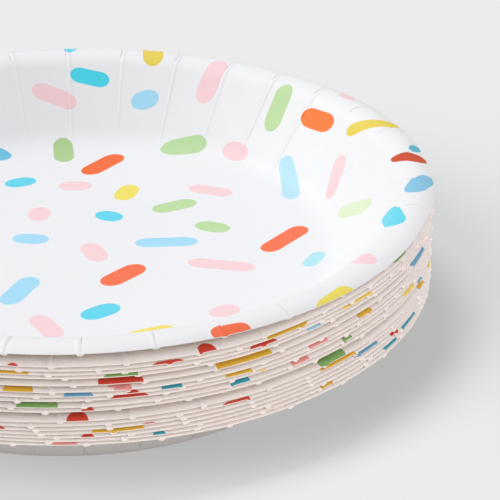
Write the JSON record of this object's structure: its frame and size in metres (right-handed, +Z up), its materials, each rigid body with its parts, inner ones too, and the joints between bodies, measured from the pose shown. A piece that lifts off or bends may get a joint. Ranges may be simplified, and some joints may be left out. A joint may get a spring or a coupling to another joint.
{
  "type": "paper plate stack",
  "caption": "Stack of nested round pressed-paper plates with pleated walls, rolled brims and scattered rounded dashes printed on the eating face.",
  "frame": {"origin": "centre of the lowest plate's underside, on the surface that the stack stands on", "axes": "+Z up along the common axis of the plates, X and Y level with no preferred direction"},
  "size_m": [0.216, 0.216, 0.0512],
  "materials": {
    "printed_plate_paper": "white clay-coated board with a low gloss, printed with small rounded dashes, bare at the cut edge"
  },
  "bodies": {
    "root": {"plate_01": "printed_plate_paper", "plate_02": "printed_plate_paper", "plate_03": "printed_plate_paper", "plate_04": "printed_plate_paper", "plate_05": "printed_plate_paper", "plate_06": "printed_plate_paper", "plate_07": "printed_plate_paper", "plate_08": "printed_plate_paper", "plate_09": "printed_plate_paper", "plate_10": "printed_plate_paper", "plate_11": "printed_plate_paper", "plate_12": "printed_plate_paper", "plate_13": "printed_plate_paper", "plate_14": "printed_plate_paper", "plate_15": "printed_plate_paper", "plate_16": "printed_plate_paper", "plate_17": "printed_plate_paper", "plate_18": "printed_plate_paper"}
  },
  "joints": []
}
